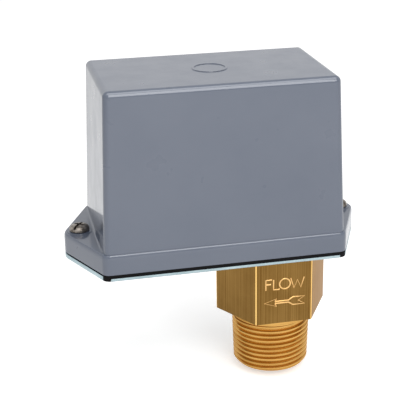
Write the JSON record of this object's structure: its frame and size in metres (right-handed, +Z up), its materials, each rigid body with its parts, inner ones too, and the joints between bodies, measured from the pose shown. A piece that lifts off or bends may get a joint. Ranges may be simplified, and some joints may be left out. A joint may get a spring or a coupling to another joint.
{
  "type": "paddle flow switch",
  "caption": "Flow switch head: pipe stem with a sealed lever that trips a snap switch under a lift-off cast cover with pointed ears.",
  "frame": {"origin": "centre of the pipe stem's lower end, on the stem axis", "axes": "+Z up the stem towards the cover, +X along the housing, away from its long end, so that the liquid flows towards -X, -Y is the front face with the flow arrow"},
  "size_m": [0.1234, 0.0588, 0.1358],
  "materials": {
    "cover_paint": "gloss enamel on a die casting",
    "stainless": "turned",
    "zinc_steel": "bright zinc plate",
    "black_rubber": "moulded",
    "brass": "machined",
    "bronze": "formed",
    "spring_steel": "hardened",
    "switch_plastic": "moulded phenolic",
    "plunger_plastic": "moulded",
    "insulation": "pressed sheet",
    "earth_green": "dyed screw"
  },
  "bodies": {
    "housing_base": {"cover_nuts": "zinc_steel", "cover_gasket": "black_rubber", "base_plate": "zinc_steel", "brass_body": "brass", "body_screws": "zinc_steel", "bellows_ferrule": "brass", "sealing_ring": "black_rubber", "seal_bellows": "bronze", "pivot_pin": "stainless", "pivot_spacers": "brass", "switch_case": "switch_plastic", "switch_lid": "switch_plastic", "leaf_pin": "stainless", "open_terminal": "brass", "common_terminal": "brass", "closed_terminal": "brass", "terminal_screws": "brass", "switch_screws": "zinc_steel", "switch_nuts": "zinc_steel", "switch_bracket": "zinc_steel", "insulating_sheet": "insulation", "bracket_screws": "zinc_steel", "range_spring": "spring_steel", "earth_screw": "earth_green", "earth_washer": "brass"},
    "cover": {"cover": "cover_paint", "cover_screws": "stainless"},
    "lever": {"paddle_lever": "stainless", "bellows_cap": "brass", "switch_arm": "zinc_steel", "arm_washer": "zinc_steel", "arm_nut": "brass", "trip_screw": "stainless", "trip_lock_nut": "brass"},
    "leaf": {"switch_leaf": "spring_steel"},
    "plunger": {"switch_plunger": "plunger_plastic"},
    "range_adjuster": {"range_screw": "zinc_steel"},
    "spring_seat": {"spring_seat": "brass"}
  },
  "joints": [
    {"name": "cover_lift", "type": "slide", "parent": "housing_base", "child": "cover", "axis": [0, 0, 1], "range_m": [0, 0.08]},
    {"name": "lever_pivot", "type": "hinge", "parent": "housing_base", "child": "lever", "pos_m": [0, 0, 0.0625], "axis": [0, 1, 0], "range_deg": [0, 5], "stiffness_Nm_per_rad": 0.17, "springref_deg": -22.92, "deforming": ["range_spring", "seal_bellows"]},
    {"name": "leaf_hinge", "type": "hinge", "parent": "housing_base", "child": "leaf", "pos_m": [-0.064, 0, 0.07648], "axis": [0, -1, 0], "range_deg": [0, 8]},
    {"name": "plunger_slide", "type": "slide", "parent": "housing_base", "child": "plunger", "axis": [0, 0, 1], "range_m": [0, 0.0012]},
    {"name": "range_screw_turn", "type": "hinge", "parent": "housing_base", "child": "range_adjuster", "pos_m": [-0.013, 0, 0.0982], "axis": [0, 0, 1], "range_deg": [0, 1800]},
    {"name": "spring_seat_slide", "type": "slide", "parent": "housing_base", "child": "spring_seat", "axis": [0, 0, -1], "range_m": [0, 0.00397], "deforming": ["range_spring"]}
  ],
  "couplings": [
    {"joint": "leaf_hinge", "follows": "lever_pivot", "ratio": 1.6},
    {"joint": "plunger_slide", "follows": "lever_pivot", "m_per_rad": 0.013689},
    {"joint": "range_screw_turn", "follows": "spring_seat_slide", "rad_per_m": 7913.3}
  ]
}
